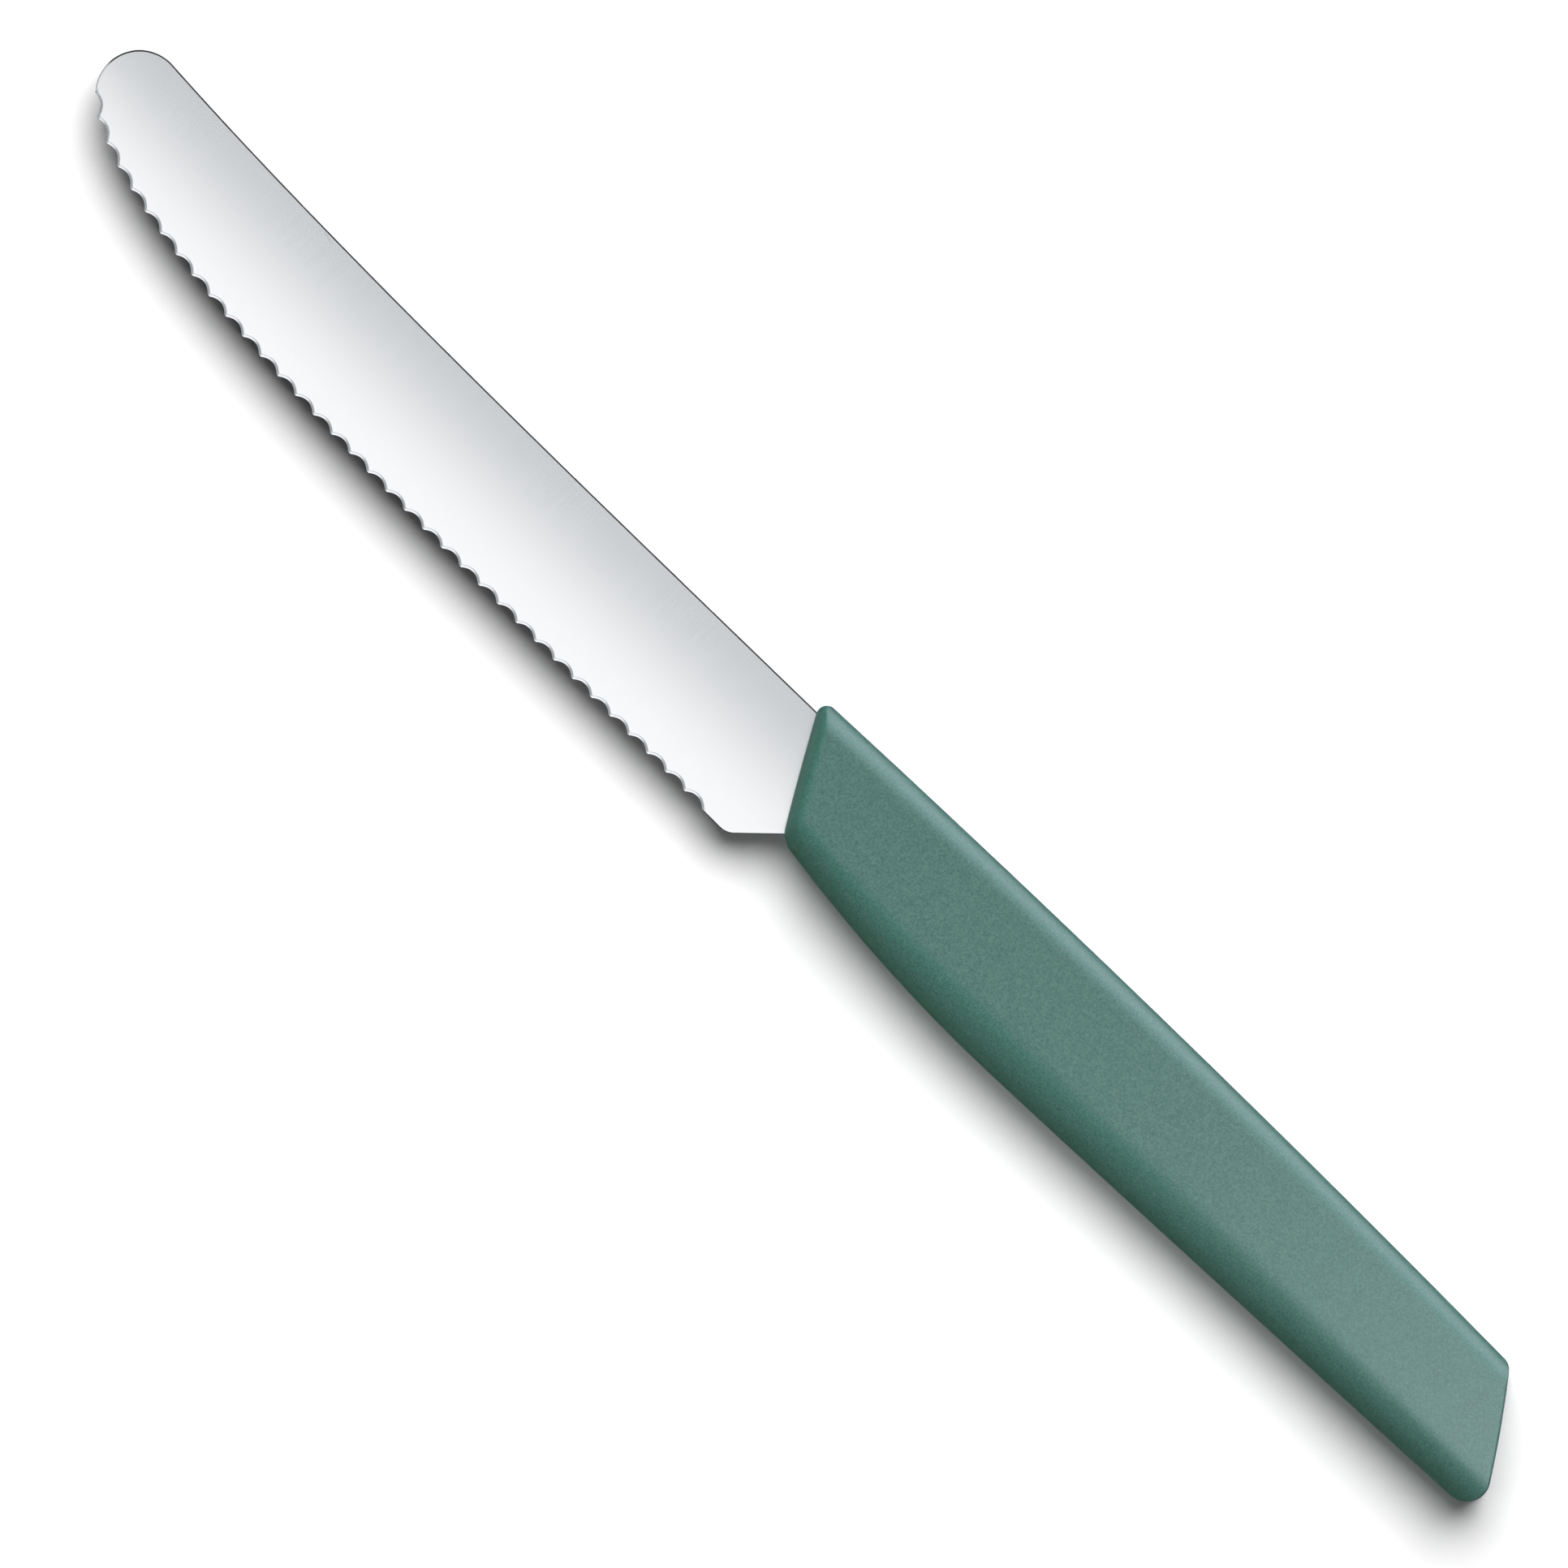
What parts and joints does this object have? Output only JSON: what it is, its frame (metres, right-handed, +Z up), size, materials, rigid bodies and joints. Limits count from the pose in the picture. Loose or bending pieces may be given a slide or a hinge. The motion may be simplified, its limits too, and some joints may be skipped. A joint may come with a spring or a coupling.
{
  "type": "serrated petty knife",
  "caption": "Small serrated kitchen knife with a round-tipped, scallop-edged steel blade locked in a slanted, matt sage-green moulded handle.",
  "frame": {"origin": "under the middle of the knife's box, on the surface that it lies on", "axes": "+X from the blade's tip to the handle's butt, +Y towards the spine, +Z up, out of the upper side"},
  "size_m": [0.22, 0.02, 0.012],
  "materials": {
    "steel": "satin ground stainless steel with fine cross-wise lines",
    "core_polymer": "plain moulded",
    "grip_polymer": "fine matt moulded grain, sage green"
  },
  "bodies": {
    "root": {"blade": "steel", "handle_core": "core_polymer", "handle_grip": "grip_polymer"}
  },
  "joints": []
}
